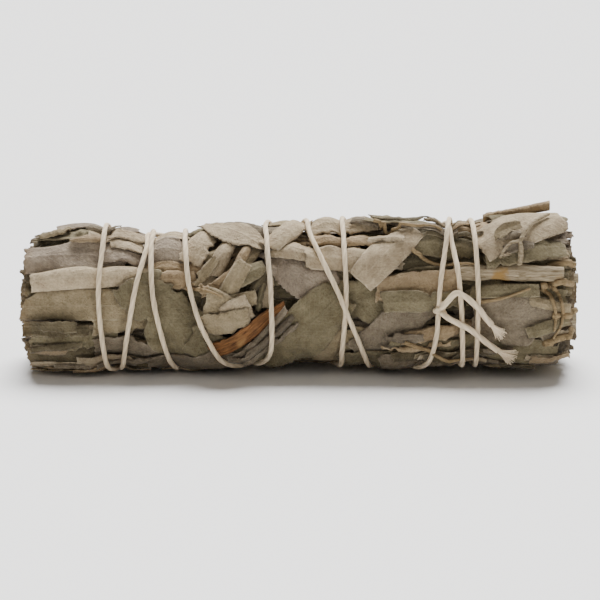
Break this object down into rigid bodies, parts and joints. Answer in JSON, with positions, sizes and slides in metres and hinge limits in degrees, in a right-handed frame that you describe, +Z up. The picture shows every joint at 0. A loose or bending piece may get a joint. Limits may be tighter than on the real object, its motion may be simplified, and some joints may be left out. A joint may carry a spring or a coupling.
{
  "type": "sage bunch",
  "caption": "Bunch of dried white sage, leafy stems and loose leaves pressed to a round bar, wound with one knotted cotton string and lying on its side.",
  "frame": {"origin": "centre of the bunch's bounding box, on the surface it lies on", "axes": "+X along the bunch, towards the woody stem ends; +Z up; -Y the side with the knot"},
  "size_m": [0.1496, 0.047, 0.0453],
  "materials": {
    "pale_leaf": "dry felted sage leaf, pale silver-green to cream",
    "grey_leaf": "dry felted sage leaf, lilac-grey underside",
    "olive_leaf": "dry felted sage leaf, dull olive",
    "stem_wood": "dry pale stem with thin bark and a pithy cut end",
    "bark": "orange-brown peeled bark",
    "cotton": "undyed three-ply cotton string, matt"
  },
  "bodies": {
    "root": {"bark_strip": "bark", "cotton_string": "cotton", "leaf_roll": "grey_leaf", "leafy_stem_1": "olive_leaf", "leafy_stem_2": "grey_leaf", "leafy_stem_3": "pale_leaf", "leafy_stem_4": "olive_leaf", "leafy_stem_5": "grey_leaf", "leafy_stem_6": "pale_leaf", "leafy_stem_7": "olive_leaf", "outer_leaf_01": "grey_leaf", "outer_leaf_02": "pale_leaf", "outer_leaf_03": "olive_leaf", "outer_leaf_04": "pale_leaf", "outer_leaf_05": "olive_leaf", "outer_leaf_06": "grey_leaf", "outer_leaf_07": "olive_leaf", "outer_leaf_08": "grey_leaf", "outer_leaf_09": "grey_leaf", "outer_leaf_10": "olive_leaf", "outer_leaf_11": "grey_leaf", "outer_leaf_12": "olive_leaf", "outer_leaf_13": "grey_leaf", "outer_leaf_14": "olive_leaf", "outer_leaf_15": "grey_leaf", "outer_leaf_16": "grey_leaf", "outer_leaf_17": "olive_leaf", "outer_leaf_18": "pale_leaf", "outer_leaf_19": "grey_leaf", "outer_leaf_20": "olive_leaf", "outer_leaf_21": "grey_leaf", "outer_leaf_22": "pale_leaf", "outer_leaf_23": "grey_leaf", "outer_leaf_24": "pale_leaf", "outer_leaf_25": "pale_leaf", "outer_leaf_26": "olive_leaf", "outer_leaf_27": "olive_leaf", "outer_leaf_28": "olive_leaf", "outer_leaf_29": "grey_leaf", "outer_leaf_30": "pale_leaf", "outer_leaf_31": "pale_leaf", "outer_leaf_32": "grey_leaf", "outer_leaf_33": "grey_leaf", "outer_leaf_34": "olive_leaf", "outer_leaf_35": "olive_leaf", "outer_leaf_36": "pale_leaf", "outer_leaf_37": "pale_leaf", "outer_leaf_38": "pale_leaf", "outer_leaf_39": "olive_leaf", "outer_leaf_40": "pale_leaf", "outer_leaf_41": "pale_leaf", "outer_stem": "pale_leaf", "woody_stem_1": "stem_wood", "woody_stem_2": "stem_wood", "woody_stem_3": "stem_wood", "woody_stem_4": "stem_wood", "woody_stem_5": "stem_wood", "woody_stem_6": "stem_wood", "woody_stem_7": "stem_wood"}
  },
  "joints": []
}
